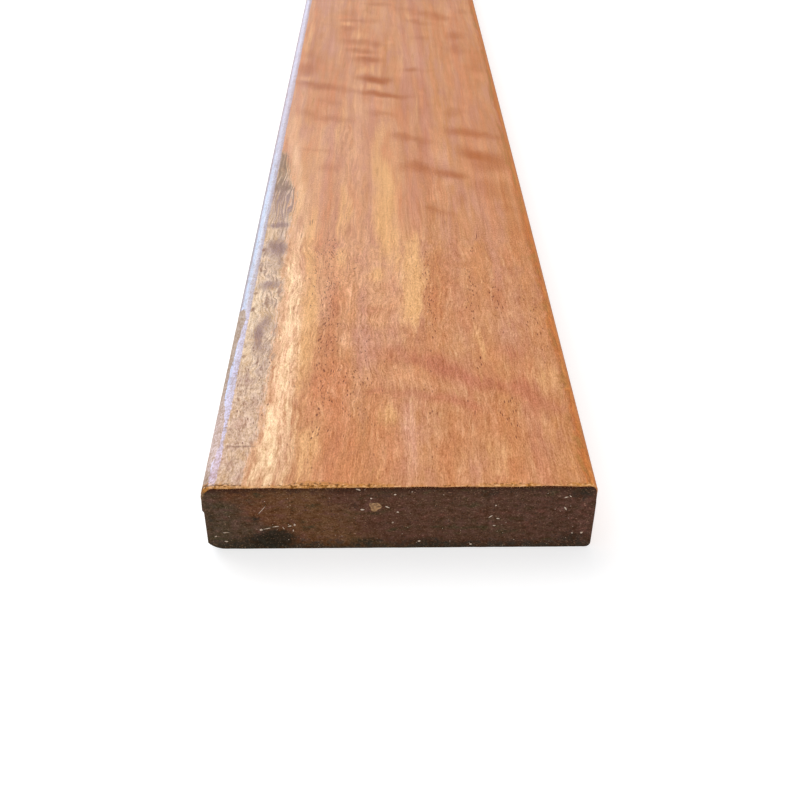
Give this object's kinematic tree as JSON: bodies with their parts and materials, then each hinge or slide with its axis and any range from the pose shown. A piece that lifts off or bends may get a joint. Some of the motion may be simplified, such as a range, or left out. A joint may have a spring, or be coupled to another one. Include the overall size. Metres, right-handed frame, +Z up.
{
  "type": "decking board",
  "caption": "Solid hardwood decking board with eased long edges and square-cut ends, laid face up across joists as a deck's walking surface.",
  "frame": {"origin": "middle of the underside, halfway along and halfway across the board", "axes": "+Y along the grain with the end seen in the picture at -Y, +X across the board to the right seen from that end, +Z up through the face"},
  "size_m": [0.09, 1.8, 0.019],
  "materials": {
    "oiled_hardwood": "planed and lightly oiled, satin sheen on the face and easings, dark bare end grain"
  },
  "bodies": {
    "root": {"decking_board": "oiled_hardwood"}
  },
  "joints": []
}
